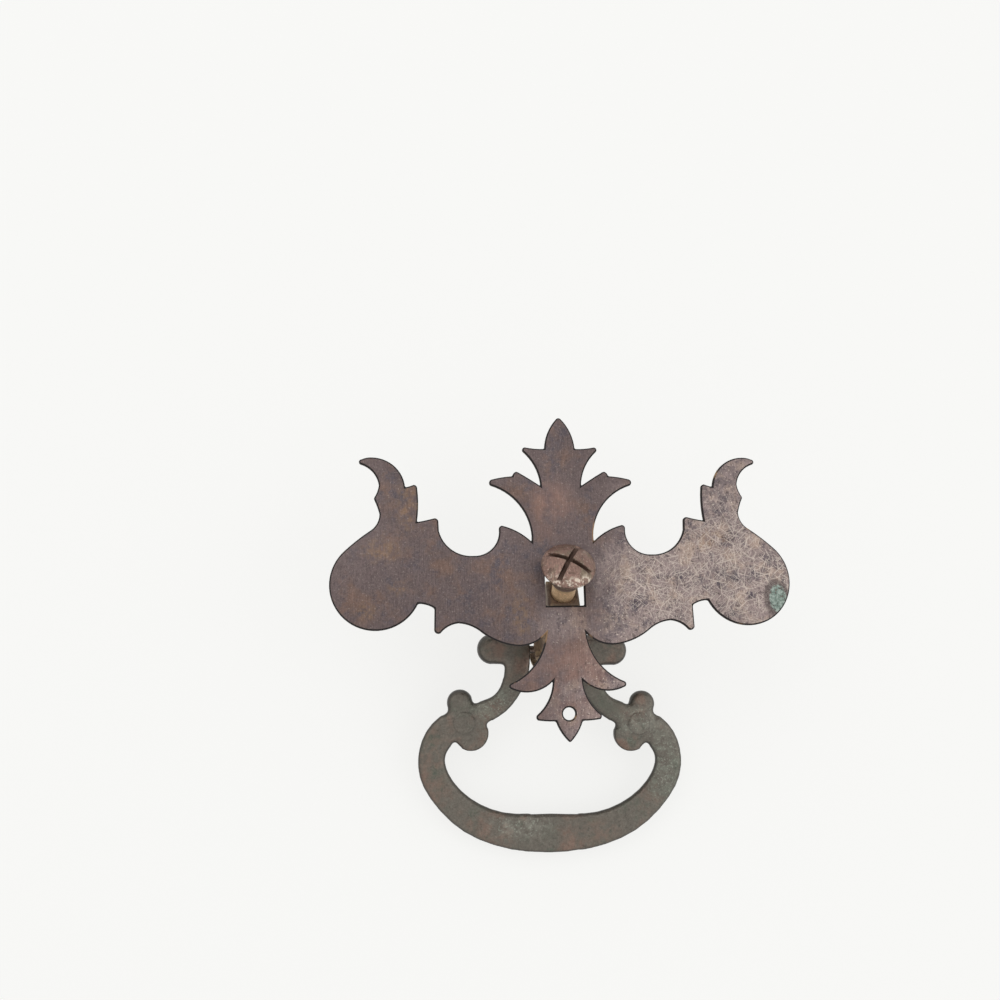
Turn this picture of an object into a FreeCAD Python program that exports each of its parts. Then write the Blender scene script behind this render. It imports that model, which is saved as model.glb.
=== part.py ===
import FreeCAD, Part
import math
import os
from FreeCAD import Vector

os.makedirs("parts", exist_ok=True)

# Bail pull, in millimetres. The plate stands in the XZ plane with its back on y = 0 and its front
# towards -Y. The origin is the middle of the square post hole, in the plate's back face.
# The back screw is loose, so the post leans on its stop. The bail lies forwards of the plate, and a
# little askew in its slack pivots.

# Back plate
plate_thickness = 1.0
plate_width = 100.0
crest_height = 37.6
tail_drop = 32.7
lobe_radius = 9.8
lobe_rise = 0.85
post_hole_side = 8.4
nail_hole_diameter = 2.6
nail_hole_rise = 5.9

# Post: places along its axis are counted forwards from the middle of the plate's thickness
post_lean = 29.0
post_side = 6.9
post_end_chamfer = 0.4
post_stop_gap = 0.1
pivot_reach = 24.75
waist_diameter = 5.6
waist_length = 5.4
waist_flare = 0.9
shoulder_side = 9.2
shoulder_thickness = 1.6
pommel_diameter = 9.8
pommel_rim = 0.8
pommel_dome = 1.9

# Back screw: places along its axis are counted backwards from the middle of the plate's thickness
screw_diameter = 5.1
screw_clearance = 0.05
screw_engagement = 9.0
screw_bore_spare = 1.5
collar_start = 2.2
collar_diameter = 6.4
head_start = 6.85
head_diameter = 11.5
head_rim = 0.5
head_dome = 2.2
slot_width = 1.0
slot_depth = 1.9
slot_turn = 29.5

# Bail: drops are counted down from the pivot
pin_diameter = 1.7
pin_clearance = 0.1
pin_end_gap = 0.8
barrel_inner_face = 5.5
barrel_length = 11.9
barrel_diameter = 6.7
back_offset = 2.2
back_edge_bevel = 0.6
bail_drop = 41.75
grip_width = 8.7
relief = 0.05
knob_diameter = 5.7
knob_drop = 12.3
knob_spread = 21.3
knob_depth = 1.9
inner_lobe_diameter = 7.7
inner_lobe_drop = 19.1
inner_lobe_spread = 18.6
inner_lobe_wall = 2.0
inner_lobe_bevel = 1.7
button_diameter = 4.8
button_drop = 17.0
button_spread = 20.3
button_height = 0.3
grip_mark_diameter = 5.4
grip_mark_depth = 0.15
section_run = 9.0
section_turn = 13.0
route_steps = 600
round_reach = 0.5523
bail_forward = 9.3
bail_askew = 1.5

lean = math.radians(post_lean)
plate_middle = Vector(0, -plate_thickness / 2, 0)
lobe_spread = plate_width / 2 - lobe_radius
axis_x = Vector(1, 0, 0)
axis_y = Vector(0, 1, 0)
forwards = Vector(0, -1, 0)

# The post's end stands just off the plate's front, on its lower edge
end_half = post_side / 2 - post_end_chamfer
post_end = (plate_thickness / 2 + post_stop_gap + end_half * math.sin(lean)) / math.cos(lean)
shoulder_start = pivot_reach - waist_length / 2 - shoulder_thickness
waist_start = shoulder_start + shoulder_thickness
pommel_start = waist_start + waist_length

pivot = plate_middle + Vector(0, -pivot_reach * math.cos(lean), -pivot_reach * math.sin(lean))
bail_back = pivot.y + back_offset

# One half of the plate's edge, from the crest's tip down to the tail's tip. Each row is the end of
# an arc: its place sideways and upwards from its own reference point, and how far the arc bulges
# outwards from its chord. The reference points are the crest's tip, the middle of the post hole,
# the middle of the round side lobe and the tail's tip.
crest_edge = [
    (0.5, -0.2, 0.05),
    (3.4, -7.1, 0.66),
    (7.6, -6.75, -0.13),
    (8.1, -7.8, 0.44),
    (4.5, -15.5, -0.83),
    (9.6, -12.25, 0.05),
    (10.6, -13.3, 0.27),
    (15.1, -14.0, 0.12),
    (15.4, -15.4, 0.5),
]
upper_wing_edge = [
    (6.75, 11.0, -2.22),
    (6.8, 9.75, 0.0),
    (13.1, 13.3, 0.48),
    (13.85, 12.5, 0.26),
    (19.4, 6.75, -1.81),
]
horn_edge = [
    (-13.4, 11.35, -1.68),
    (-13.3, 13.45, 0.0),
    (-12.4, 14.15, 0.24),
    (-8.7, 13.35, -0.05),
    (-8.8, 20.75, 0.25),
    (-8.0, 21.55, 0.25),
    (-6.2, 21.0, -0.05),
    (1.1, 27.7, 1.93),
    (3.2, 27.25, 0.13),
    (3.4, 26.15, 0.44),
    (-0.55, 21.45, -0.91),
    (0.55, 18.55, -0.19),
    (-0.7, 15.15, -0.1),
    (1.5, 11.35, -0.6),
]
lobe_arc_start = 47.5
lobe_arc_end = -154.5
lobe_neck_bulge = 0.12
lower_spike_edge = [
    (-12.3, -5.25, -0.27),
    (-12.2, -9.55, 0.0),
    (-13.5, -10.5, 0.5),
]
lower_wing_edge = [
    (22.9, -7.6, -0.43),
    (18.5, -9.2, -0.33),
    (10.7, -12.6, 0.63),
    (4.35, -10.1, 0.82),
]
tail_edge = [
    (12.0, 12.4, -1.76),
    (12.0, 11.2, 0.45),
    (3.2, 12.65, 1.41),
    (6.7, 5.8, -0.82),
    (6.5, 4.65, 0.3),
    (2.85, 4.4, 0.08),
    (0.0, 0.0, 0.33),
]

# One half of the bail's half-round bar, from the barrel down the arm and round to the grip: the
# middle of the bar sideways and down from the pivot, and the bar's width
bail_stations = [
    (8.4, 0.8, 5.6),
    (8.45, 5.2, 5.5),
    (9.75, 9.2, 4.6),
    (12.0, 12.2, 4.4),
    (15.2, 14.1, 4.9),
    (19.3, 15.9, 6.0),
    (23.6, 17.9, 6.5),
    (26.2, 20.6, 6.3),
    (27.5, 24.2, 5.9),
    (27.2, 27.8, 6.1),
    (24.4, 32.8, 6.2),
    (18.7, 37.85, 6.8),
    (10.2, 41.1, 7.5),
]


def edge_points(edge, reference_x, reference_z):
    """The rows of an edge list as places in the plate, each with its bulge."""
    return [(reference_x + x, reference_z + z, bulge) for x, z, bulge in edge]


def lobe_point(angle):
    """A place on the rim of the round side lobe."""
    turn = math.radians(angle)
    return lobe_spread + lobe_radius * math.cos(turn), lobe_rise + lobe_radius * math.sin(turn)


def lobe_bulge():
    """How far the lobe's long arc stands out from its chord."""
    half_turn = math.radians(lobe_arc_start - lobe_arc_end) / 2
    return lobe_radius * (1 - math.cos(half_turn))


def half_plate_edge():
    """The ends and bulges of the arcs down one side of the plate."""
    rows = edge_points(crest_edge, 0, crest_height)
    rows += edge_points(upper_wing_edge, 0, 0)
    rows += edge_points(horn_edge, lobe_spread, lobe_rise)
    rows.append((*lobe_point(lobe_arc_start), lobe_neck_bulge))
    rows.append((*lobe_point(lobe_arc_end), lobe_bulge()))
    rows += edge_points(lower_spike_edge, lobe_spread, lobe_rise)
    rows += edge_points(lower_wing_edge, 0, 0)
    rows += edge_points(tail_edge, 0, -tail_drop)
    return rows


def bulged_edge(start, end, bulge):
    """A straight edge, or an arc that bulges to the left of the way it runs."""
    if bulge == 0:
        return Part.LineSegment(start, end).toShape()
    run = end - start
    left = Vector(-run.z, 0, run.x).normalize()
    return Part.Arc(start, (start + end) * 0.5 + left * bulge, end).toShape()


def plate_outline():
    """The closed edge of the plate: one half and its mirror image."""
    start = Vector(0, 0, crest_height)
    right_side = []
    left_side = []
    for x, z, bulge in half_plate_edge():
        end = Vector(x, 0, z)
        right_side.append(bulged_edge(start, end, bulge))
        mirrored_end = Vector(-end.x, 0, end.z)
        mirrored_start = Vector(-start.x, 0, start.z)
        left_side.append(bulged_edge(mirrored_end, mirrored_start, bulge))
        start = end
    return Part.Wire(right_side + left_side[::-1])


def make_backplate():
    """The scrolled sheet plate with its square post hole and its nail hole."""
    plate = Part.Face(plate_outline()).extrude(forwards * plate_thickness)
    side = post_hole_side
    cut_depth = plate_thickness * 3
    hole_corner = Vector(-side / 2, -plate_thickness * 2, -side / 2)
    plate = plate.cut(Part.makeBox(side, cut_depth, side, hole_corner))
    nail_start = Vector(0, -plate_thickness * 2, nail_hole_rise - tail_drop)
    return plate.cut(Part.makeCylinder(nail_hole_diameter / 2, cut_depth, nail_start, axis_y))


def leaned(shape):
    """Turn a shape made square to the plate to the post's resting lean."""
    shape.translate(plate_middle)
    shape.rotate(plate_middle, axis_x, post_lean)
    return shape


def turned(profile):
    """Spin a closed profile of edges, drawn beside the post's axis, about that axis."""
    return Part.Face(Part.Wire(profile)).revolve(Vector(0, 0, 0), axis_y, 360)


def profile_point(place, radius):
    """A place on a turned profile: forwards along the post's axis, and out from it."""
    return Vector(radius, -place, 0)


def lines(points):
    """Straight edges from point to point."""
    return [Part.LineSegment(a, b).toShape() for a, b in zip(points, points[1:])]


def spool():
    """The round front of the post: flared waist and domed pommel."""
    waist = waist_diameter / 2
    rim = pommel_diameter / 2
    pommel_front = pommel_start + pommel_rim
    dome_top = pommel_front + pommel_dome
    dome_sphere = (rim ** 2 + pommel_dome ** 2) / (2 * pommel_dome)
    dome_half = math.asin(rim / dome_sphere) / 2
    dome_middle = profile_point(
        dome_top - dome_sphere * (1 - math.cos(dome_half)), dome_sphere * math.sin(dome_half))
    rim_front = profile_point(pommel_front, rim)
    dome_peak = profile_point(dome_top, 0)
    axis_start = profile_point(waist_start, 0)
    profile = lines([
        axis_start,
        profile_point(waist_start, waist + waist_flare),
        profile_point(waist_start + waist_flare, waist),
        profile_point(pommel_start - waist_flare, waist),
        profile_point(pommel_start, waist + waist_flare),
        profile_point(pommel_start, rim),
        rim_front,
    ])
    profile.append(Part.Arc(rim_front, dome_middle, dome_peak).toShape())
    profile += lines([dome_peak, axis_start])
    return turned(profile)


def square_bar(side, start, end):
    """A square bar about the post's axis between two places along it."""
    return Part.makeBox(side, end - start, side, Vector(-side / 2, -end, -side / 2))


def end_edges(bar):
    """The four edges round the end of the shank that faces the plate."""
    return [e for e in bar.Edges if all(abs(v.Y + post_end) < 1e-6 for v in e.Vertexes)]


def make_post():
    """The cast post: square shank, shoulder, waist with the pivot hole, and pommel."""
    shank = square_bar(post_side, post_end, shoulder_start)
    shank = shank.makeChamfer(post_end_chamfer, end_edges(shank))
    post = shank.fuse([square_bar(shoulder_side, shoulder_start, waist_start), spool()])
    bore_radius = screw_diameter / 2 + screw_clearance
    bore_start = profile_point(post_end, 0)
    bore_depth = screw_engagement + screw_bore_spare
    post = post.cut(Part.makeCylinder(bore_radius, bore_depth, bore_start, forwards))
    pivot_radius = pin_diameter / 2 + pin_clearance
    pivot_start = Vector(-waist_diameter, -pivot_reach, 0)
    post = post.cut(Part.makeCylinder(pivot_radius, waist_diameter * 2, pivot_start, axis_x))
    return leaned(post.removeSplitter())


def screw_slot(turn):
    """One of the two sawn slots across the screw's head."""
    floor = head_start + head_rim + head_dome - slot_depth
    slot = Part.makeBox(
        head_diameter * 2, slot_depth * 2, slot_width, Vector(-head_diameter, floor, -slot_width / 2))
    slot.rotate(Vector(0, 0, 0), axis_y, -turn)
    return slot


def make_back_screw():
    """The screw: shank, plain collar and domed head with crossed slots."""
    shank = screw_diameter / 2
    collar = collar_diameter / 2
    rim = head_diameter / 2
    head_back = head_start + head_rim
    dome_top = head_back + head_dome
    dome_sphere = (rim ** 2 + head_dome ** 2) / (2 * head_dome)
    dome_half = math.asin(rim / dome_sphere) / 2
    dome_middle = profile_point(
        -(dome_top - dome_sphere * (1 - math.cos(dome_half))), dome_sphere * math.sin(dome_half))
    tip = post_end + screw_engagement
    points = [
        profile_point(tip, 0),
        profile_point(tip, shank),
        profile_point(-collar_start, shank),
        profile_point(-collar_start, collar),
        profile_point(-head_start, collar),
        profile_point(-head_start, rim),
        profile_point(-head_back, rim),
    ]
    dome_peak = profile_point(-dome_top, 0)
    profile = lines(points)
    profile.append(Part.Arc(points[-1], dome_middle, dome_peak).toShape())
    profile += lines([dome_peak, points[0]])
    screw = turned(profile)
    for turn in (slot_turn, slot_turn + 90):
        screw = screw.cut(screw_slot(turn))
    return leaned(screw)


def bail_point(x, drop, depth=0.0):
    """A place on the bail: sideways, down from the pivot, and forwards from the flat back."""
    return Vector(x, bail_back - depth, pivot.z - drop)


def bar_route():
    """A curve through the middles of the bail's bar, which carries the bar's width as its y."""
    other_side = [(-x, drop, width) for x, drop, width in bail_stations[::-1]]
    stations = bail_stations + [(0, bail_drop, grip_width)] + other_side
    points = []
    for x, drop, width in stations:
        middle = bail_point(x, drop)
        points.append(Vector(middle.x, width, middle.z))
    route = Part.BSplineCurve()
    route.interpolate(points)
    return route


def quarter_round(start, corner, end):
    """A curve that rounds a square corner off in a quarter circle."""
    curve = Part.BezierCurve()
    curve.setPoles([
        start,
        start + (corner - start) * round_reach,
        end + (corner - end) * round_reach,
        end,
    ])
    return curve.toShape()


def half_round_section(station, heading):
    """A flat-backed, half-round section of the bar, square to the way that the bar runs."""
    middle = Vector(station.x, bail_back, station.z)
    across = Vector(-heading.z, 0, heading.x).normalize()
    half = station.y / 2
    edge = back_edge_bevel

    def at(sideways, depth):
        return middle + across * sideways + forwards * depth

    front = at(0, edge + half)
    flats = lines([at(-half, edge), at(edge - half, 0), at(half - edge, 0), at(half, edge)])
    rounds = [
        quarter_round(at(half, edge), at(half, edge + half), front),
        quarter_round(front, at(-half, edge + half), at(-half, edge)),
    ]
    return Part.Wire(flats + rounds)


def section_places(route):
    """Places along a curve for the bar's sections, closer together where it bends."""
    steps = [route.LastParameter * step / route_steps for step in range(route_steps + 1)]
    reach = [0.0]
    for start, end in zip(steps, steps[1:]):
        run = (route.value(end) - route.value(start)).Length
        turn = route.tangent(end)[0].getAngle(route.tangent(start)[0])
        reach.append(reach[-1] + run / section_run + math.degrees(turn) / section_turn)
    count = math.ceil(reach[-1])
    goals = [reach[-1] * number / count for number in range(count)]
    return [next(s for s, r in zip(steps, reach) if r >= goal) for goal in goals] + steps[-1:]


def bail_bar():
    """The bail's bar, lofted along its S-shaped arms and its loop."""
    route = bar_route()
    sections = []
    for place in section_places(route):
        sections.append(half_round_section(route.value(place), route.tangent(place)[0]))
    return Part.makeLoft(sections, True, True)


def flat_backed(shape, back):
    """Cut a shape off at its flat back."""
    reach = plate_width
    corner = Vector(-reach, back, pivot.z - reach)
    return shape.cut(Part.makeBox(reach * 2, reach, reach * 2, corner))


def barrel(side):
    """The round-ended barrel at the top of an arm, with its pivot pin."""
    radius = barrel_diameter / 2
    outwards = Vector(side, 0, 0)
    inner_face = pivot + outwards * barrel_inner_face
    round_middle = inner_face + outwards * (barrel_length - radius)
    body = Part.makeCylinder(radius, barrel_length - radius, inner_face, outwards)
    body = body.fuse(Part.makeSphere(radius, round_middle))
    body = flat_backed(body, bail_back - relief)
    pin_start = pivot + outwards * (pin_end_gap / 2)
    pin_length = barrel_inner_face - pin_end_gap / 2 + radius / 2
    return body.fuse(Part.makeCylinder(pin_diameter / 2, pin_length, pin_start, outwards))


def shoulder_knob(side):
    """The upright round knob where an arm meets the loop, with its back flat."""
    radius = knob_diameter / 2
    top = bail_point(side * knob_spread, knob_drop, knob_depth)
    foot = bail_point(side * button_spread, button_drop, knob_depth)
    upright = Part.makeCylinder(radius, (top - foot).Length, foot, top - foot)
    return flat_backed(upright.fuse(Part.makeSphere(radius, top)), bail_back - relief)


def inner_lobe(side):
    """The round lobe that turns in below the shoulder, bevelled in front."""
    radius = inner_lobe_diameter / 2
    back = bail_point(side * inner_lobe_spread, inner_lobe_drop, relief)
    wall_front = back + forwards * inner_lobe_wall
    wall = Part.makeCylinder(radius, inner_lobe_wall, back, forwards)
    bevel = Part.makeCone(radius, radius - inner_lobe_bevel, inner_lobe_bevel, wall_front, forwards)
    return wall.fuse(bevel)


def back_button(side):
    """The low round button on the back of a shoulder."""
    middle = bail_point(side * button_spread, button_drop, -button_height)
    length = button_height + knob_depth
    return Part.makeCylinder(button_diameter / 2, length, middle, forwards)


def hung(shape):
    """Turn the bail, made square to its pivot, to the way that it lies."""
    shape.rotate(pivot, axis_y, -bail_askew)
    shape.rotate(pivot, axis_x, -bail_forward)
    return shape


def make_bail():
    """The cast bail: bar, barrels with pins, shoulder ornaments and the mark behind the grip."""
    ornaments = []
    for side in (1, -1):
        ornaments += [barrel(side), shoulder_knob(side), inner_lobe(side), back_button(side)]
    bail = bail_bar().fuse(ornaments)
    mark_start = bail_point(0, bail_drop, -grip_mark_depth)
    mark = Part.makeCylinder(grip_mark_diameter / 2, grip_mark_depth * 2, mark_start, forwards)
    return hung(bail.cut(mark).removeSplitter())


nodes = {
    "backplate": make_backplate(),
    "post": make_post(),
    "back_screw": make_back_screw(),
    "bail": make_bail(),
}
for name, shape in nodes.items():
    shape.exportStep(f"parts/{name}.step")
    box = shape.BoundBox
    print(name, shape.isValid(), len(shape.Solids), round(shape.Volume, 1),
          [round(v, 2) for v in (box.XMin, box.XMax, box.YMin, box.YMax, box.ZMin, box.ZMax)])
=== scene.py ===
import math

import bpy
from bpy.props import FloatProperty, FloatVectorProperty, IntProperty, PointerProperty
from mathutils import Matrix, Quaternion, Vector


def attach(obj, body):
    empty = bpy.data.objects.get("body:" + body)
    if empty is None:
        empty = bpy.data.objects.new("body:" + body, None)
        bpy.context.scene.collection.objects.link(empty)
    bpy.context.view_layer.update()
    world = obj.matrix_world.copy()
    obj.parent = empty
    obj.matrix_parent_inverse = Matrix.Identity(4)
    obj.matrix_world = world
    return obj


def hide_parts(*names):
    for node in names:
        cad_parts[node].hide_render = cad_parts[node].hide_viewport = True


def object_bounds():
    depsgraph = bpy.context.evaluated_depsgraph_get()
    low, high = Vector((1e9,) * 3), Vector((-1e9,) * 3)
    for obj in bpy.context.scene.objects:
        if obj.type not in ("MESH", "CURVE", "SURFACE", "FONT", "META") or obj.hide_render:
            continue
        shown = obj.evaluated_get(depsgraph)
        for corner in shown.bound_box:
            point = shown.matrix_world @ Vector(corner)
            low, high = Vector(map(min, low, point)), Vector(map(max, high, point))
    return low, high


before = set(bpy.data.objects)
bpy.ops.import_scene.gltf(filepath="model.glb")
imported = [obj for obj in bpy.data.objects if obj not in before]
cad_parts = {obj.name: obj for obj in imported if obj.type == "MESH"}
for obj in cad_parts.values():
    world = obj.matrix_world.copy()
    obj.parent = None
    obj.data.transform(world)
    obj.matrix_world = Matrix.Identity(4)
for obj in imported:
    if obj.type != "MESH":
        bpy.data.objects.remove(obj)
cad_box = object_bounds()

bl_info = {
    "name": "Old brass bail pull",
    "version": (1, 0, 0),
    "blender": (4, 5, 0),
    "location": "View3D > Sidebar > Bail Pull",
    "description": "Dresses a scrolled drawer pull in worn and tarnished brass",
    "category": "Object",
}

MM = 0.001
MERGE_DISTANCE = 1e-6
FLAT_ANGLE = math.radians(0.5)
SHARP_ANGLE = math.radians(32)

# Where the bail's parts run together: across, up and reach, in millimetres.
BAIL_JOINS = (
    (10.87, -15.02, 3.6), (24.03, -25.93, 1.7), (18.62, -24.23, 1.7),
    (15.63, -28.09, 1.6), (22.38, -32.67, 1.6),
    (-10.7, -15.59, 3.6), (-23.29, -27.18, 1.7), (-17.97, -25.2, 1.7),
    (-14.78, -28.9, 1.6), (-21.28, -33.83, 1.6))
# Middles of the low buttons: across and up, in millimetres.
BAIL_BUTTONS = ((20.74, -28.24), (-19.86, -29.3))
# How far a normal turns towards the plate's back: below the first it faces front, above the second back.
FRONT_NORMAL = 0.2
BACK_NORMAL = 0.5
SMOOTH_FACTOR = 0.5

# Patches of colour: middle across and up, then radius across and up, in millimetres.
PLATE_RUBBED_BELOW = ((0.5, -8.0, 9.0, 6.0),)
PLATE_GOLD = (
    (42.4, -5.0, 3.4, 2.8), (35.6, 0.0, 3.0, 2.4), (39.0, 8.0, 6.0, 4.0), (9.6, -6.5, 3.0, 8.0),
    (33.4, 18.0, 3.4, 9.0), (13.2, -13.4, 7.0, 2.4), (-15.7, -13.2, 7.0, 2.8), (-33.0, 10.0, 6.0, 4.0))
PLATE_RED = ((0.5, -20.0, 14.0, 13.0), (2.0, 17.0, 7.0, 9.0))
PLATE_STAINS = (
    (-34.8, 2.0, 5.0, 4.4), (-27.0, 1.0, 3.6, 2.8), (-35.0, -6.0, 5.0, 3.0), (-46.6, -3.4, 4.0, 5.6),
    (-9.5, -6.3, 6.0, 7.0), (-38.0, 12.0, 4.0, 3.0), (-34.8, 22.0, 9.0, 13.0), (-47.5, 4.0, 5.0, 7.0))
PLATE_SCRATCHED = ((-40.0, 4.0, 24.0, 22.0), (-22.0, 0.0, 18.0, 16.0))
SPILL_RING = ((-46.7, -3.2, 3.8, 5.4),)
SPILL = ((-46.9, -3.2, 2.7, 4.3),)
EDGE_BURRS = ((-6.6, 12.0, 1.6, 3.6), (4.6, -10.0, 1.6, 3.0))
BAIL_RED = ((28.5, -36.0, 6.0, 12.0), (-9.2, -53.3, 9.0, 4.0), (13.5, -12.0, 4.0, 3.0))
BAIL_GREEN = (
    (12.0, -24.0, 9.0, 9.0), (-13.0, -25.0, 9.0, 8.0), (-25.0, -40.0, 8.0, 12.0), (7.3, -12.5, 3.0, 3.0))
BAIL_MARK = ((1.1, -53.2, 3.0, 3.0),)
BAIL_DUST = (
    (-25.5, -38.5, 6.0, 13.0), (-20.0, -29.0, 8.0, 6.0), (8.0, -51.5, 10.0, 4.0), (14.0, -24.0, 8.0, 6.0))

# Moves that keep one pattern from repeating another, in millimetres.
GRAIN_APART = (37, 11, 23)
PITS_APART = (91, 7, 53)
SCORES_APART = (47, 0, 29)
STAINS_APART = (13, 71, 29)
# Directions of the scratches in degrees, each with its own move.
SCRATCH_TURNS = ((14, 3), (38, 19), (63, 31), (87, 43), (112, 57), (138, 71), (165, 83))

# The plate: its back in millimetres, and the slanted, wandering line between its two halves.
PLATE_BACK = (-0.7, -0.3)
HALF_SLANT = 0.35
HALF_WANDER = 22.0
HALF_EDGE = (10.0, -6.0)

# The screw in millimetres: heights along its axis, radii about it and depths under its dome.
SCREW_MIDDLE = (0, -0.5, 0)
NECK_SHADE_AND_TARNISH = (0.4, 2.0)
NECK_END = (2.1, 2.3)
HEAD_START = (6.7, 6.8)
LOW_RIM_DROP = (-2.2, -4.6)
LOW_RIM_RADIUS = (3.6, 5.0)
LIP_TOP = (0.01, 0.06)
LIP_FOOT = (0.26, 0.14)
LIP_RADIUS = (5.3, 4.9)
SLOT_DEPTH = (0.2, 0.7)
SLOT_RADIUS = (5.7, 5.3)
# Rings round the collar, in radians per millimetre.
RING_TURN = 7.0

# The stage in metres, and the camera's sensor in millimetres.
TABLE_SIZE = 3
LIGHT_SIZE = 0.6
KEY_PLACE = (0.35, 0.75, 0.45)
FILL_PLACE = (-0.6, 0.6, -0.1)
FRONT_PLACE = (0.3, -0.8, 0.5)
SENSOR_WIDTH = 36
CLIP_START = 0.01


def srgb(red, green, blue):
    """A colour given in 0 to 255 steps, as the shader's linear values."""
    linear = []
    for step in (red, green, blue):
        share = step / 255
        linear.append(share / 12.92 if share <= 0.04045 else ((share + 0.055) / 1.055) ** 2.4)
    return tuple(linear)


def colour(name, description, red, green, blue):
    """A colour setting with its default in 0 to 255 steps."""
    return FloatVectorProperty(
        name=name, description=description, subtype="COLOR", size=3,
        min=0, max=1, default=srgb(red, green, blue))


def length(name, description, millimetres):
    """A length setting with its default in millimetres."""
    return FloatProperty(
        name=name, description=description, subtype="DISTANCE", unit="LENGTH",
        min=0, precision=5, default=millimetres * MM)


class PlateFinish(bpy.types.PropertyGroup):
    """Sizes and colours of the back plate."""
    edge_bevel: length("Edge bevel", "Width of the softened edge round the plate", 0.32)
    shade: colour("Shaded tone", "Brown of the darker half", 100, 86, 85)
    shade_warm: colour("Shaded warm tone", "Warm brown patches of the darker half", 113, 91, 82)
    shade_cool: colour("Shaded cool tone", "Cool grey patches of the darker half", 86, 78, 83)
    # The rubbed half is lighter partly from wear and partly as a painted highlight on that side of the
    # plate.
    rubbed: colour("Rubbed tone", "Tan of the rubbed half", 143, 127, 124)
    rubbed_warm: colour("Rubbed warm tone", "Golden patches of the rubbed half", 166, 146, 134)
    rubbed_cool: colour("Rubbed cool tone", "Mauve patches of the rubbed half", 84, 75, 82)
    bright: colour("Bare metal", "Scratches and grains of bare metal", 228, 214, 200)
    pit: colour("Pits", "Dark pits and stains", 64, 54, 52)
    gold: colour("Golden patches", "Patches where the brass shows", 146, 116, 86)
    red: colour("Red patches", "Copper-red patches on the tail", 142, 110, 98)
    verdigris: colour("Verdigris", "Pale green corrosion", 178, 194, 183)
    verdigris_deep: colour("Deep verdigris", "Darker green corrosion", 118, 140, 129)
    # Painted shade, not tarnish: the dark tone laid on the bevelled rims round the plate.
    edge: colour("Edge", "Dark tarnish along the rims", 28, 24, 23)
    wall: colour("Edge wall", "Brown tarnish of the cut edge", 70, 58, 51)


class BailFinish(bpy.types.PropertyGroup):
    """Sizes and colours of the bail."""
    grain: length("Casting grain", "Size of the cells that the casting is rounded with", 0.24)
    swelling: length("Swelling", "Growth that makes up for what the rounding takes off", 0.18)
    rounding: IntProperty(name="Rounding", description="Passes that soften the casting's edges",
                          min=0, default=20)
    join_rounding: IntProperty(name="Join rounding", description="More passes where its parts run together",
                               min=0, default=84)
    pin_reach: length("Pin reach", "How far the turned pins reach from the middle", 5.5)
    shoulder_reach: length("Shoulder reach", "Radius of the blended front of each shoulder", 3.0)
    button_radius: length("Button radius", "Radius of the low buttons behind the shoulders", 2.45)
    button_height: length("Button height", "Height of those buttons", 0.16)
    base: colour("Base tone", "Grey-brown of the casting", 106, 100, 91)
    olive: colour("Olive tone", "Green-grey patches", 94, 96, 85)
    red: colour("Red tone", "Red-brown patches", 122, 101, 89)
    # Painted shade on the bail's sides; the same tone also colours its small stains.
    side: colour("Side tone", "Dark tarnish on the sides", 52, 48, 43)
    dust: colour("Dust", "Pale speckle on one side", 160, 163, 150)


class FixingFinish(bpy.types.PropertyGroup):
    """Sizes and colours of the post and the back screw."""
    edge_bevel: length("Edge bevel", "Width of the softened edges", 0.12)
    lean: FloatProperty(name="Lean", description="Lean of the post's axis", subtype="ANGLE",
                        default=math.radians(29))
    gold: colour("Golden brass", "Rubbed golden brass", 156, 134, 106)
    brown: colour("Brown tarnish", "Brown tarnish of the post", 120, 102, 86)
    copper: colour("Copper brown", "Tone of the screw's head", 136, 108, 97)
    umber: colour("Umber", "Dark patches on the head", 94, 75, 66)
    olive: colour("Olive", "Green-brown patches on the head", 128, 112, 95)
    dome_top: length("Dome top", "Height of the screw's dome above the plate's middle", 9.55)
    dome_radius: length("Dome radius", "Radius of the ball that the dome is cut from", 8.614)
    neck: colour("Neck", "Golden brass of the screw's neck", 214, 182, 144)
    grey: colour("Collar grey", "Tone of the collar under the head", 124, 107, 95)
    # Darkens the screw's slots and the rings round its collar.
    slot_and_ring_dark: colour("Grime", "Dirt in the slots", 92, 72, 62)
    # Bare metal that also paints a highlight on the head's lower rim.
    bright: colour("Bare metal", "Rubbed rim and burrs", 236, 222, 204)


class StageSettings(bpy.types.PropertyGroup):
    """The table, the lights and the camera."""
    table_colour: colour("Table", "Colour of the white table", 252, 252, 250)
    table_glow: FloatProperty(name="Table glow", description="Share of the table that shadows don't reach",
                              min=0, max=1, default=0.8)
    table_gap: length("Table gap", "Gap between the pull's front and the table", 0.3)
    sky: FloatProperty(name="Sky", description="Strength of the even light all round",
                       min=0, default=0.66)
    key_power: FloatProperty(name="Key light", description="Power of the main light",
                             unit="POWER", min=0, default=1.2)
    fill_power: FloatProperty(name="Fill light", description="Power of the light on the other side",
                              unit="POWER", min=0, default=0.8)
    camera_place: FloatVectorProperty(
        name="Camera place", description="Where the camera stands", subtype="TRANSLATION",
        unit="LENGTH", precision=6, default=(0.033977, 0.211220, -0.027423))
    camera_aim: FloatVectorProperty(
        name="Camera aim", description="The way that the camera looks", subtype="DIRECTION",
        precision=5, default=(-0.09432, -0.97241, 0.21338))
    camera_roll: FloatProperty(name="Camera roll", description="Turn about the camera's own axis",
                               subtype="ANGLE", default=math.radians(-1.367))
    camera_lens: FloatProperty(name="Camera lens", description="Focal length", subtype="DISTANCE_CAMERA",
                               default=36)


def settings(group):
    """One of the scene's groups of settings."""
    return getattr(bpy.context.scene, group)


def select_only(piece):
    """Select one object and nothing else."""
    bpy.ops.object.select_all(action="DESELECT")
    piece.select_set(True)
    bpy.context.view_layer.objects.active = piece


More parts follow.
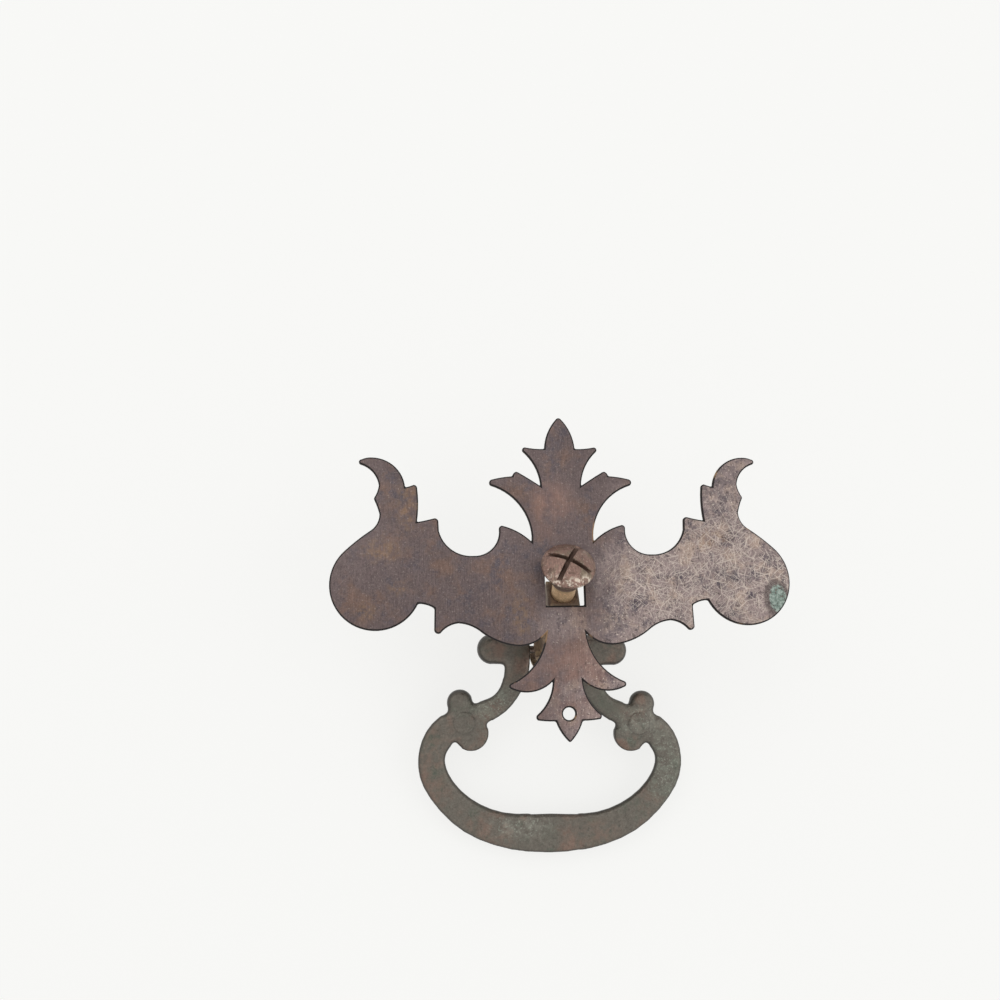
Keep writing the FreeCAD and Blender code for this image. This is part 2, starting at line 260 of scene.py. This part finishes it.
def merged_copy(node_name, piece_name):
    """A copy of a node's mesh with its loose triangles joined and its flat faces made whole."""
    piece = bpy.data.objects.new(piece_name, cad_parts[node_name].data.copy())
    bpy.context.scene.collection.objects.link(piece)
    piece.data.materials.clear()
    select_only(piece)
    bpy.ops.object.mode_set(mode="EDIT")
    bpy.ops.mesh.select_all(action="SELECT")
    bpy.ops.mesh.customdata_custom_splitnormals_clear()
    bpy.ops.mesh.remove_doubles(threshold=MERGE_DISTANCE)
    bpy.ops.mesh.dissolve_limited(angle_limit=FLAT_ANGLE)
    bpy.ops.object.mode_set(mode="OBJECT")
    return piece


def apply_modifier(piece, name, kind, **values):
    """Add a modifier to a piece, set it and apply it."""
    modifier = piece.modifiers.new(name, kind)
    for key, value in values.items():
        setattr(modifier, key, value)
    select_only(piece)
    bpy.ops.object.modifier_apply(modifier=name)


def name_vertices(piece, name, chosen):
    """Put the vertices that a test picks into a group."""
    group = piece.vertex_groups.new(name=name)
    group.add([vertex.index for vertex in piece.data.vertices if chosen(vertex)], 1.0, "REPLACE")


def near(vertex, x, z, reach):
    """Whether a vertex lies close to a line straight through the plate, in millimetres."""
    return math.hypot(vertex.co.x / MM - x, vertex.co.z / MM - z) < reach


def smooth(piece, name, passes, group):
    """Smooth the vertices of a group."""
    apply_modifier(piece, name, "SMOOTH", factor=SMOOTH_FACTOR, iterations=passes, vertex_group=group)


def soften_edges(piece, width, edge_slot=-1):
    """Bevel the sharp edges of a piece and shade it smooth."""
    apply_modifier(
        piece, "Edge bevel", "BEVEL", width=width, segments=2, limit_method="ANGLE",
        angle_limit=SHARP_ANGLE, use_clamp_overlap=False, material=edge_slot)
    select_only(piece)
    bpy.ops.object.shade_smooth_by_angle(angle=SHARP_ANGLE)


def place_on(piece, node_name, body_name):
    """Let a piece stand for its node and move with its body."""
    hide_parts(node_name)
    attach(piece, body_name)


class Wiring:
    """Adds nodes to a tree and links them."""

    def __init__(self, tree):
        self.tree = tree

    def node(self, kind, inputs=None, **values):
        """A new node with its values set and its inputs linked or filled in."""
        made = self.tree.nodes.new(kind)
        for key, value in values.items():
            setattr(made, key, value)
        for key, value in (inputs or {}).items():
            self.feed(made.inputs[key], value)
        return made

    def feed(self, socket, value):
        """Link an output to an input, or set the input's own value."""
        if isinstance(value, bpy.types.NodeSocket):
            self.tree.links.new(value, socket)
        elif socket.type == "RGBA" and len(value) == 3:
            socket.default_value = (*value, 1)
        else:
            socket.default_value = value

    def math(self, operation, *operands):
        """A sum on values."""
        inputs = dict(enumerate(operands))
        return self.node("ShaderNodeMath", inputs, operation=operation).outputs[0]

    def product(self, first, *others):
        """Values multiplied together."""
        for other in others:
            first = self.math("MULTIPLY", first, other)
        return first

    def vector_math(self, operation, *operands):
        """A sum on vectors."""
        return self.node("ShaderNodeVectorMath", dict(enumerate(operands)), operation=operation).outputs

    def parts(self, vector):
        """A vector's X, Y and Z."""
        return self.node("ShaderNodeSeparateXYZ", {0: vector}).outputs

    def ramp(self, value, low, high):
        """0 below one limit, 1 above the other, and smooth between them."""
        inputs = {"Value": value, "From Min": low, "From Max": high}
        return self.node("ShaderNodeMapRange", inputs, interpolation_type="SMOOTHSTEP").outputs[0]

    def noise(self, vector, scale, detail=3.0, roughness=0.55):
        """A cloudy value about 0.5."""
        inputs = {"Vector": vector, "Scale": scale, "Detail": detail, "Roughness": roughness}
        return self.node("ShaderNodeTexNoise", inputs).outputs[0]

    def mapped(self, vector, **values):
        """A vector moved, turned and scaled."""
        names = {"location": "Location", "rotation": "Rotation", "scale": "Scale"}
        inputs = {names[key]: value for key, value in values.items()}
        inputs["Vector"] = vector
        return self.node("ShaderNodeMapping", inputs).outputs[0]

    def mix(self, share, first, second):
        """Two colours mixed."""
        made = self.node("ShaderNodeMix", data_type="RGBA", blend_type="MIX")
        sockets = {s.identifier: s for s in made.inputs}
        self.feed(sockets["Factor_Float"], share)
        self.feed(sockets["A_Color"], first)
        self.feed(sockets["B_Color"], second)
        return next(s for s in made.outputs if s.identifier == "Result_Color")

    def tinted(self, tone, tint, *masks, strength):
        """A colour mixed with a tint where every mask reaches."""
        return self.mix(self.product(*masks, strength), tone, tint)

    def spots(self, vector, patches):
        """1 in the middle of each round patch and 0 from its edge outwards."""
        total = None
        for x, z, wide, high in patches:
            moved = self.vector_math("SUBTRACT", vector, (x, 0, z))[0]
            scaled = self.vector_math("MULTIPLY", moved, (1 / wide, 0, 1 / high))[0]
            one = self.ramp(self.vector_math("LENGTH", scaled)["Value"], 1.0, 0.25)
            total = one if total is None else self.math("MAXIMUM", total, one)
        return total

    def brightened(self, share, low, high, tone):
        """A colour made darker or lighter by a cloudy value about 0.5."""
        inputs = {"Value": share, "From Min": 0.3, "From Max": 0.7, "To Min": low, "To Max": high}
        level = self.node("ShaderNodeMapRange", inputs).outputs[0]
        return self.node("ShaderNodeHueSaturation", {"Value": level, "Color": tone}).outputs[0]


def new_group(name, inputs, outputs):
    """An empty shader node group with its sockets, and its input and output nodes."""
    tree = bpy.data.node_groups.new(name, "ShaderNodeTree")
    kinds = {"vector": "NodeSocketVector", "value": "NodeSocketFloat", "colour": "NodeSocketColor"}
    for socket_name, kind in inputs.items():
        tree.interface.new_socket(socket_name, in_out="INPUT", socket_type=kinds[kind])
    for socket_name, kind in outputs.items():
        tree.interface.new_socket(socket_name, in_out="OUTPUT", socket_type=kinds[kind])
    wiring = Wiring(tree)
    return wiring, wiring.node("NodeGroupInput").outputs, wiring.node("NodeGroupOutput").inputs


def mottle_group():
    """Cloudy tarnish in three tones, with a fine grain."""
    wiring, given, result = new_group(
        "Mottled tarnish",
        {"Place": "vector", "Size": "value", "Base": "colour", "Warm": "colour", "Cool": "colour"},
        {"Colour": "colour", "Grain": "value"})
    scale = wiring.math("DIVIDE", 1.0, given["Size"])
    wide = wiring.noise(given["Place"], scale, 5.0, 0.62)
    offset = wiring.mapped(given["Place"], location=GRAIN_APART)
    fine = wiring.noise(offset, wiring.math("MULTIPLY", scale, 1.7), 6.0, 0.68)
    warm = wiring.mix(wiring.ramp(wide, 0.48, 0.66), given["Base"], given["Warm"])
    both = wiring.mix(wiring.ramp(fine, 0.5, 0.68), warm, given["Cool"])
    grain = wiring.noise(offset, 2.3, 3.0, 0.75)
    wiring.feed(result["Colour"], wiring.brightened(grain, 0.78, 1.22, both))
    wiring.feed(result["Grain"], grain)
    return wiring.tree


def scratch_group():
    """Fine scratches that cross each other in many directions."""
    wiring, given, result = new_group(
        "Crossed scratches", {"Place": "vector", "Spacing": "value"}, {"Mask": "value"})
    scale = wiring.math("DIVIDE", 1.0, given["Spacing"])
    total = None
    for turn, shift in SCRATCH_TURNS:
        turned = wiring.mapped(
            given["Place"], location=(shift, shift, -shift), rotation=(0, math.radians(turn), 0))
        drawn = wiring.mapped(turned, scale=(0.05, 1, 1))
        drift = wiring.noise(drawn, wiring.math("MULTIPLY", scale, 0.6), 0.0)
        height = wiring.parts(turned)["Z"]
        lane = wiring.math("MULTIPLY_ADD", drift, 1.3, wiring.math("MULTIPLY", height, scale))
        away = wiring.math("ABSOLUTE", wiring.math("SUBTRACT", wiring.math("FRACT", lane), 0.5))
        line = wiring.ramp(away, 0.085, 0.02)
        dashes = wiring.noise(wiring.mapped(turned, scale=(0.35, 1, 1)), scale, 0.0)
        stroke = wiring.math("MULTIPLY", line, wiring.ramp(dashes, 0.55, 0.68))
        total = stroke if total is None else wiring.math("MAXIMUM", total, stroke)
    wiring.feed(result["Mask"], total)
    return wiring.tree


def speckle_group():
    """Small grains, more of them as the amount goes from 0 to 1."""
    wiring, given, result = new_group(
        "Speckle", {"Place": "vector", "Size": "value", "Amount": "value"}, {"Mask": "value"})
    scale = wiring.math("DIVIDE", 1.0, given["Size"])
    grain = wiring.noise(given["Place"], scale, 2.5, 0.6)
    low = wiring.math("MULTIPLY_ADD", given["Amount"], -0.24, 0.74)
    wiring.feed(result["Mask"], wiring.ramp(grain, low, wiring.math("ADD", low, 0.07)))
    return wiring.tree


def shared_groups():
    """The node groups that the finishes share, built once."""
    makers = {"Mottled tarnish": mottle_group, "Crossed scratches": scratch_group, "Speckle": speckle_group}
    for name, maker in makers.items():
        if name not in bpy.data.node_groups:
            maker()


def new_finish(name):
    """An empty material: its wiring, its shader and the place on the object in millimetres."""
    shared_groups()
    material = bpy.data.materials.new(name)
    material.use_nodes = True
    wiring = Wiring(material.node_tree)
    shader = material.node_tree.nodes["Principled BSDF"]
    place = wiring.node("ShaderNodeTexCoord").outputs["Object"]
    return material, wiring, shader, wiring.mapped(place, scale=(1 / MM,) * 3)


def group_outputs(wiring, name, inputs):
    """Place a shared group in a material and give its outputs."""
    made = wiring.node("ShaderNodeGroup", node_tree=bpy.data.node_groups[name])
    for key, value in inputs.items():
        wiring.feed(made.inputs[key], value)
    return made.outputs


def tarnish(wiring, place, size, base, warm, cool):
    """Cloudy tarnish in three tones, and its grain."""
    return group_outputs(wiring, "Mottled tarnish", {
        "Place": place, "Size": size, "Base": base, "Warm": warm, "Cool": cool})


def speckle(wiring, place, size, amount):
    """A mask of small grains."""
    return group_outputs(wiring, "Speckle", {"Place": place, "Size": size, "Amount": amount})["Mask"]


def scratches(wiring, place, spacing):
    """A mask of crossed scratches."""
    return group_outputs(wiring, "Crossed scratches", {"Place": place, "Spacing": spacing})["Mask"]


def face_on(wiring):
    """1 on faces that lie like the plate's and 0 on walls square to them."""
    normal = wiring.node("ShaderNodeTexCoord").outputs["Normal"]
    return wiring.math("ABSOLUTE", wiring.parts(normal)["Y"])


def bump(wiring, shader, height, distance):
    """Raise a surface by a height that is 0 to 1, over a distance in millimetres."""
    inputs = {"Height": height, "Distance": distance * MM, "Strength": 1.0}
    wiring.feed(shader.inputs["Normal"], wiring.node("ShaderNodeBump", inputs).outputs[0])


def plate_finish(finish):
    """Brushed plate: dark on one half; rubbed, scratched and lightened by a painted highlight on the other.
    """
    material, wiring, shader, place = new_finish("Tarnished plate")
    split = wiring.parts(place)
    behind = wiring.ramp(split["Y"], *PLATE_BACK)
    cloud = wiring.noise(place, 0.11, detail=5.0, roughness=0.6)
    # The lighter half is partly rubbed brass and partly a painted highlight where the light falls on that
    # side.
    slanted = wiring.math("MULTIPLY_ADD", split["Z"], HALF_SLANT, split["X"])
    half = wiring.ramp(wiring.math("MULTIPLY_ADD", cloud, HALF_WANDER, slanted), *HALF_EDGE)
    below = wiring.product(wiring.spots(place, PLATE_RUBBED_BELOW), 0.6)
    rubbed = wiring.math("MAXIMUM", half, below)
    shade = tarnish(wiring, place, 8.0, finish.shade, finish.shade_warm, finish.shade_cool)
    pale = tarnish(wiring, place, 5.0, finish.rubbed, finish.rubbed_warm, finish.rubbed_cool)
    tone = wiring.mix(rubbed, shade["Colour"], pale["Colour"])

    ragged = wiring.ramp(wiring.noise(place, 0.6, detail=5.0, roughness=0.65), 0.4, 0.62)
    tone = wiring.tinted(tone, finish.gold, wiring.spots(place, PLATE_GOLD), ragged, strength=0.45)
    cloudy = wiring.ramp(cloud, 0.35, 0.6)
    tone = wiring.tinted(tone, finish.red, wiring.spots(place, PLATE_RED), cloudy, strength=0.7)
    stained = wiring.spots(place, PLATE_STAINS)
    tone = wiring.tinted(tone, finish.shade_cool, stained, ragged, strength=0.65)
    drawn = wiring.mapped(place, scale=(3.6, 3.6, 0.35))
    strands = wiring.noise(drawn, 1.0, detail=4.0, roughness=0.7)
    tone = wiring.brightened(strands, 0.74, 1.27, tone)

    keen = wiring.math("MULTIPLY_ADD", rubbed, 0.75, 0.25)
    pits = speckle(wiring, wiring.mapped(place, location=PITS_APART), size=0.62, amount=0.62)
    tone = wiring.tinted(tone, finish.pit, pits, keen, strength=0.68)
    grains = speckle(wiring, place, size=0.45, amount=0.56)
    tone = wiring.tinted(tone, finish.bright, grains, keen, strength=0.65)
    flecks = wiring.product(scratches(wiring, place, spacing=0.62), 0.72)
    scores = scratches(wiring, wiring.mapped(place, location=SCORES_APART), spacing=1.35)
    webs = wiring.math("MAXIMUM", wiring.product(scores, 0.6), flecks)
    lobe = wiring.spots(place, PLATE_SCRATCHED)
    keenest = wiring.product(lobe, wiring.math("MULTIPLY_ADD", behind, 0.6, 0.2))
    scored = wiring.product(webs, wiring.math("ADD", keenest, 0.06))
    tone = wiring.mix(scored, tone, finish.bright)

    ring = wiring.ramp(wiring.spots(place, SPILL_RING), 0.05, 0.4)
    tone = wiring.tinted(tone, finish.pit, ring, behind, strength=0.6)
    blooms = wiring.noise(place, 1.3, detail=5.0, roughness=0.65)
    ragged_spill = wiring.product(wiring.spots(place, SPILL), wiring.ramp(blooms, 0.3, 0.55))
    crust = wiring.product(wiring.ramp(ragged_spill, 0.2, 0.5), behind)
    green = wiring.mix(wiring.ramp(blooms, 0.45, 0.6), finish.verdigris_deep, finish.verdigris)
    tone = wiring.tinted(tone, green, crust, strength=0.85)

    wiring.feed(shader.inputs["Base Color"], tone)
    wiring.feed(shader.inputs["Metallic"], wiring.math("MULTIPLY_ADD", crust, -0.55, 0.55))
    wiring.feed(shader.inputs["Roughness"], wiring.math("MULTIPLY_ADD", strands, 0.22, 0.38))
    relief = wiring.math("MULTIPLY_ADD", scored, -0.5, wiring.product(strands, 0.6))
    bump(wiring, shader, wiring.math("MULTIPLY_ADD", crust, 1.6, relief), distance=0.03)
    return material


def edge_finish(finish):
    """The plate's cut edge: its bevelled rim darkened with painted shade, with the brass rubbed bare here
    and there.
    """
    material, wiring, shader, place = new_finish("Plate edge")
    burrs = wiring.spots(place, EDGE_BURRS)
    rubs = wiring.ramp(wiring.noise(place, 0.3, detail=4.0), 0.62, 0.74)
    bare = wiring.math("MAXIMUM", rubs, wiring.ramp(burrs, 0.2, 0.8))
    grain = wiring.noise(place, 1.1, detail=4.0, roughness=0.65)
    wall = wiring.brightened(grain, 0.7, 1.3, finish.wall)
    # Painted shade: the bevel faces, tilted towards the plate's faces, take the dark rim tone; the square
    # walls keep the wall tone.
    dark = wiring.mix(wiring.ramp(face_on(wiring), 0.05, 0.35), wall, finish.edge)
    wiring.feed(shader.inputs["Base Color"], wiring.mix(bare, dark, finish.gold))
    shader.inputs["Metallic"].default_value = 0.1
    shader.inputs["Specular IOR Level"].default_value = 0.3
    wiring.feed(shader.inputs["Roughness"], wiring.math("MULTIPLY_ADD", bare, -0.2, 0.68))
    bump(wiring, shader, wiring.noise(place, 3.0, detail=3.0), distance=0.02)
    return material


def bail_finish(finish):
    """Smooth dark casting with olive and red patches, and painted shade darkening its sides."""
    material, wiring, shader, place = new_finish("Dark casting")
    mottle = tarnish(wiring, place, 9.0, finish.base, finish.red, finish.olive)
    ragged = wiring.ramp(wiring.noise(place, 0.45, detail=5.0, roughness=0.65), 0.38, 0.62)
    reddened = wiring.spots(place, BAIL_RED)
    tone = wiring.tinted(mottle["Colour"], finish.red, reddened, ragged, strength=0.6)
    tone = wiring.tinted(tone, finish.olive, wiring.spots(place, BAIL_GREEN), ragged, strength=0.7)
    tone = wiring.tinted(tone, finish.olive, wiring.spots(place, BAIL_MARK), strength=0.35)
    stains = speckle(wiring, wiring.mapped(place, location=STAINS_APART), size=0.9, amount=0.5)
    tone = wiring.tinted(tone, finish.side, stains, strength=0.3)

    dust = speckle(wiring, place, size=0.5, amount=0.72)
    dusty = wiring.spots(place, BAIL_DUST)
    settled = wiring.product(dust, wiring.math("MULTIPLY_ADD", dusty, 0.5, 0.1))
    tone = wiring.mix(settled, tone, finish.dust)
    tone = wiring.tinted(tone, finish.dust, dusty, ragged, strength=0.22)
    tone = wiring.brightened(wiring.noise(place, 0.9, detail=5.0, roughness=0.7), 0.84, 1.16, tone)
    # Painted shade: faces turned away from the plate's plane are darkened with the side tone.
    painted_side_shade = wiring.ramp(face_on(wiring), 0.97, 0.45)
    tone = wiring.tinted(tone, finish.side, painted_side_shade, strength=0.85)

    wiring.feed(shader.inputs["Base Color"], tone)
    shader.inputs["Metallic"].default_value = 0.5
    wiring.feed(shader.inputs["Roughness"], wiring.math("MULTIPLY_ADD", dust, 0.2, 0.4))
    fine = wiring.product(mottle["Grain"], 0.3)
    bump(wiring, shader, wiring.math("ADD", wiring.noise(place, 0.7, detail=4.0), fine), distance=0.09)
    return material


def post_finish(finish):
    """Worn brass, golden where it is rubbed and brown elsewhere."""
    material, wiring, shader, place = new_finish("Worn brass")
    mottle = tarnish(wiring, place, 4.0, finish.brown, finish.gold, finish.umber)
    grains = speckle(wiring, place, size=0.5, amount=0.5)
    tone = wiring.tinted(mottle["Colour"], finish.gold, grains, strength=0.4)
    wiring.feed(shader.inputs["Base Color"], tone)
    shader.inputs["Metallic"].default_value = 0.6
    wiring.feed(shader.inputs["Roughness"], wiring.math("MULTIPLY_ADD", grains, -0.12, 0.55))
    bump(wiring, shader, mottle["Grain"], distance=0.03)
    return material


def screw_finish(finish):
    """Copper-brown head, darker down in its slots, with a lower rim rubbed bare and lit by a painted
    highlight; grey collar; golden neck browning towards the head, partly with painted shade.
    """
    material, wiring, shader, place = new_finish("Worn screw")
    from_plate = wiring.vector_math("SUBTRACT", place, SCREW_MIDDLE)[0]
    along = wiring.mapped(from_plate, rotation=(-finish.lean, 0, 0))
    split = wiring.parts(along)
    out = wiring.vector_math("MULTIPLY", along, (1, 0, 1))[0]
    radius = wiring.vector_math("LENGTH", out)["Value"]
    ball = finish.dome_radius / MM
    inside = wiring.math("SUBTRACT", ball * ball, wiring.product(radius, radius))
    dome = wiring.math("ADD", wiring.math("SQRT", inside), finish.dome_top / MM - ball)
    depth = wiring.math("SUBTRACT", dome, split["Y"])

    mottle = tarnish(wiring, place, 3.0, finish.copper, finish.olive, finish.umber)
    grains = speckle(wiring, place, size=0.45, amount=0.5)
    head = wiring.tinted(mottle["Colour"], finish.bright, grains, strength=0.35)
    chips = wiring.ramp(wiring.noise(place, 1.1, detail=4.0, roughness=0.65), 0.46, 0.6)
    # The lower rim is partly rubbed bare and partly a painted highlight where the light catches it.
    lit_worn_low_rim = wiring.product(wiring.ramp(split["Z"], *LOW_RIM_DROP), wiring.ramp(radius, *LOW_RIM_RADIUS))
    head = wiring.tinted(head, finish.bright, chips, lit_worn_low_rim, strength=0.85)
    drawn = wiring.mapped(along, scale=(3.0, 1.0, 0.6), rotation=(0, 0.5, 0))
    head = wiring.brightened(wiring.noise(drawn, 1.0, detail=5.0, roughness=0.7), 0.7, 1.3, head)
    lips = wiring.product(wiring.ramp(depth, *LIP_TOP), wiring.ramp(depth, *LIP_FOOT))
    head = wiring.tinted(head, finish.bright, lips, chips, wiring.ramp(radius, *LIP_RADIUS), strength=0.5)
    # Darker down in the slots, below the dome's surface.
    slot_darkening = wiring.product(wiring.ramp(depth, *SLOT_DEPTH), wiring.ramp(radius, *SLOT_RADIUS))
    head = wiring.tinted(head, finish.slot_and_ring_dark, slot_darkening, strength=0.9)

    rings = wiring.ramp(wiring.math("SINE", wiring.product(split["Y"], RING_TURN)), 0.2, 0.9)
    dull = wiring.brightened(mottle["Grain"], 0.7, 1.3, finish.grey)
    collar = wiring.tinted(dull, finish.slot_and_ring_dark, rings, strength=0.6)
    # Painted shade and patchy tarnish: the neck browns from golden at the plate end towards the collar,
    # under the head.
    worn = wiring.product(wiring.ramp(split["Y"], *NECK_SHADE_AND_TARNISH), wiring.ramp(mottle["Grain"], 0.3, 0.6))
    golden = wiring.brightened(mottle["Grain"], 0.7, 1.25, finish.neck)
    neck = wiring.mix(worn, golden, finish.brown)
    stem = wiring.mix(wiring.ramp(split["Y"], *NECK_END), neck, collar)
    tone = wiring.mix(wiring.ramp(split["Y"], *HEAD_START), stem, head)

    wiring.feed(shader.inputs["Base Color"], tone)
    shader.inputs["Metallic"].default_value = 0.6
    wiring.feed(shader.inputs["Roughness"], wiring.math("MULTIPLY_ADD", slot_darkening, 0.3, 0.36))
    bump(wiring, shader, wiring.noise(place, 1.6, detail=4.0, roughness=0.6), distance=0.12)
    return material


def table_finish(stage):
    """White table that keeps a pale shadow and is clear from underneath."""
    material = bpy.data.materials.new("White table")
    material.use_nodes = True
    wiring = Wiring(material.node_tree)
    shader = material.node_tree.nodes["Principled BSDF"]
    output = material.node_tree.nodes["Material Output"]
    wiring.feed(shader.inputs["Base Color"], stage.table_colour)
    shader.inputs["Roughness"].default_value = 0.9
    shader.inputs["Specular IOR Level"].default_value = 0.0
    glow = wiring.node("ShaderNodeEmission", {"Color": stage.table_colour, "Strength": 1.0}).outputs[0]
    share = wiring.math("MULTIPLY", seen_rays(wiring), stage.table_glow)
    pale = wiring.node("ShaderNodeMixShader", {0: share, 1: shader.outputs[0], 2: glow}).outputs[0]
    clear = wiring.node("ShaderNodeBsdfTransparent").outputs[0]
    back = wiring.node("ShaderNodeNewGeometry").outputs["Backfacing"]
    both = wiring.node("ShaderNodeMixShader", {0: back, 1: pale, 2: clear}).outputs[0]
    wiring.feed(output.inputs["Surface"], both)
    return material


def seen_rays(wiring):
    """1 for rays that come from the camera, straight, by reflection or through glass."""
    path = wiring.node("ShaderNodeLightPath").outputs
    mirrored = wiring.math("MAXIMUM", path["Is Glossy Ray"], path["Is Transmission Ray"])
    return wiring.math("MAXIMUM", path["Is Camera Ray"], mirrored)


class BAILPULL_OT_backplate(bpy.types.Operator):
    """Make the scrolled back plate"""
    bl_idname = "bailpull.backplate"
    bl_label = "Back plate"

    def execute(self, context):
        finish = settings("plate_finish")
        piece = merged_copy("backplate", "scrolled_backplate")
        piece.data.materials.append(plate_finish(finish))
        piece.data.materials.append(edge_finish(finish))
        for face in piece.data.polygons:
            face.material_index = 0 if abs(face.normal.y) > BACK_NORMAL else 1
        soften_edges(piece, finish.edge_bevel, 1)
        place_on(piece, "backplate", "plate_body")
        return {"FINISHED"}


class BAILPULL_OT_post(bpy.types.Operator):
    """Make the post that carries the bail"""
    bl_idname = "bailpull.post"
    bl_label = "Post"

    def execute(self, context):
        finish = settings("fixing_finish")
        piece = merged_copy("post", "square_post")
        piece.data.materials.append(post_finish(finish))
        soften_edges(piece, finish.edge_bevel)
        place_on(piece, "post", "post_body")
        return {"FINISHED"}


class BAILPULL_OT_back_screw(bpy.types.Operator):
    """Make the slotted screw behind the plate"""
    bl_idname = "bailpull.back_screw"
    bl_label = "Back screw"

    def execute(self, context):
        finish = settings("fixing_finish")
        piece = merged_copy("back_screw", "slotted_screw")
        piece.data.materials.append(screw_finish(finish))
        soften_edges(piece, finish.edge_bevel)
        place_on(piece, "back_screw", "post_body")
        return {"FINISHED"}


class BAILPULL_OT_bail(bpy.types.Operator):
    """Make the cast bail"""
    bl_idname = "bailpull.bail"
    bl_label = "Bail"

    def execute(self, context):
        finish = settings("bail_finish")
        piece = merged_copy("bail", "cast_bail")
        apply_modifier(piece, "Casting grain", "REMESH", mode="VOXEL", voxel_size=finish.grain)
        name_vertices(piece, "casting", lambda vertex: abs(vertex.co.x) > finish.pin_reach)
        name_vertices(piece, "joins", lambda vertex: any(
            near(vertex, x, z, reach) for x, z, reach in BAIL_JOINS))
        name_vertices(piece, "shoulders", lambda vertex: vertex.normal.y < FRONT_NORMAL and any(
            near(vertex, x, z, finish.shoulder_reach / MM) for x, z in BAIL_BUTTONS))
        apply_modifier(piece, "Swelling", "DISPLACE", strength=finish.swelling, mid_level=0,
                       vertex_group="casting")
        smooth(piece, "Rounding", finish.rounding, "casting")
        smooth(piece, "Join rounding", finish.join_rounding, "joins")
        smooth(piece, "Shoulder rounding", finish.join_rounding, "shoulders")
        name_vertices(piece, "buttons", lambda vertex: vertex.normal.y > BACK_NORMAL and any(
            near(vertex, x, z, finish.button_radius / MM) for x, z in BAIL_BUTTONS))
        apply_modifier(piece, "Buttons", "DISPLACE", strength=finish.button_height, mid_level=0,
                       vertex_group="buttons")
        piece.data.materials.append(bail_finish(finish))
        select_only(piece)
        bpy.ops.object.shade_smooth()
        place_on(piece, "bail", "bail_body")
        return {"FINISHED"}


def soft_light(name, place, aim, power):
    """A square soft light that looks at a point."""
    data = bpy.data.lights.new(name, "AREA")
    data.energy = power
    data.size = LIGHT_SIZE
    lamp = bpy.data.objects.new(name, data)
    lamp.location = place
    lamp.rotation_mode = "QUATERNION"
    lamp.rotation_quaternion = (Vector(aim) - Vector(place)).to_track_quat("-Z", "Y")
    bpy.context.scene.collection.objects.link(lamp)


class BAILPULL_OT_stage(bpy.types.Operator):
    """Lay the pull face down on a white table, light it and set the camera"""
    bl_idname = "bailpull.stage"
    bl_label = "Stage"

    def execute(self, context):
        stage = settings("stage_settings")
        scene = context.scene
        scene.view_settings.view_transform = "Standard"
        front = cad_box[0].y - stage.table_gap
        bpy.ops.object.select_all(action="DESELECT")
        bpy.ops.mesh.primitive_plane_add(
            size=TABLE_SIZE, location=(0, front, 0), rotation=(-math.pi / 2, 0, 0))
        table = context.object
        table.name = "table"
        table.data.materials.append(table_finish(stage))
        world = bpy.data.worlds.new("Even light")
        scene.world = world
        world.use_nodes = True
        backdrop = world.node_tree.nodes["Background"]
        wiring = Wiring(world.node_tree)
        strength = wiring.math("MULTIPLY_ADD", seen_rays(wiring), 1.0 - stage.sky, stage.sky)
        wiring.feed(backdrop.inputs["Color"], (1.0, 1.0, 1.0))
        wiring.feed(backdrop.inputs["Strength"], strength)
        middle = (cad_box[0] + cad_box[1]) / 2
        soft_light("key light", KEY_PLACE, middle, stage.key_power)
        soft_light("fill light", FILL_PLACE, middle, stage.fill_power)
        soft_light("front light", FRONT_PLACE, middle, stage.key_power)
        data = bpy.data.cameras.new("photo camera")
        data.lens = stage.camera_lens
        data.sensor_width = SENSOR_WIDTH
        data.clip_start = CLIP_START
        camera = bpy.data.objects.new("photo camera", data)
        scene.collection.objects.link(camera)
        camera.location = stage.camera_place
        camera.rotation_mode = "QUATERNION"
        aim = Vector(stage.camera_aim).to_track_quat("-Z", "Y")
        camera.rotation_quaternion = aim @ Quaternion((0, 0, 1), stage.camera_roll)
        scene.camera = camera
        return {"FINISHED"}


class BAILPULL_PT_sidebar(bpy.types.Panel):
    """The steps that dress the pull"""
    bl_idname = "BAILPULL_PT_sidebar"
    bl_label = "Bail Pull"
    bl_space_type = "VIEW_3D"
    bl_region_type = "UI"
    bl_category = "Bail Pull"

    def draw(self, context):
        for operator in OPERATORS:
            self.layout.operator(operator.bl_idname)


GROUPS = {
    "plate_finish": PlateFinish,
    "bail_finish": BailFinish,
    "fixing_finish": FixingFinish,
    "stage_settings": StageSettings,
}
OPERATORS = (
    BAILPULL_OT_backplate,
    BAILPULL_OT_post,
    BAILPULL_OT_back_screw,
    BAILPULL_OT_bail,
    BAILPULL_OT_stage,
)


def register():
    for cls in (*GROUPS.values(), *OPERATORS, BAILPULL_PT_sidebar):
        bpy.utils.register_class(cls)
    for name, group in GROUPS.items():
        setattr(bpy.types.Scene, name, PointerProperty(type=group))


def unregister():
    for name in GROUPS:
        delattr(bpy.types.Scene, name)
    for cls in (BAILPULL_PT_sidebar, *reversed(OPERATORS), *GROUPS.values()):
        bpy.utils.unregister_class(cls)


def main():
    register()
    bpy.ops.bailpull.backplate()
    bpy.ops.bailpull.post()
    bpy.ops.bailpull.back_screw()
    bpy.ops.bailpull.bail()
    bpy.ops.bailpull.stage()


if __name__ == "__main__":
    main()
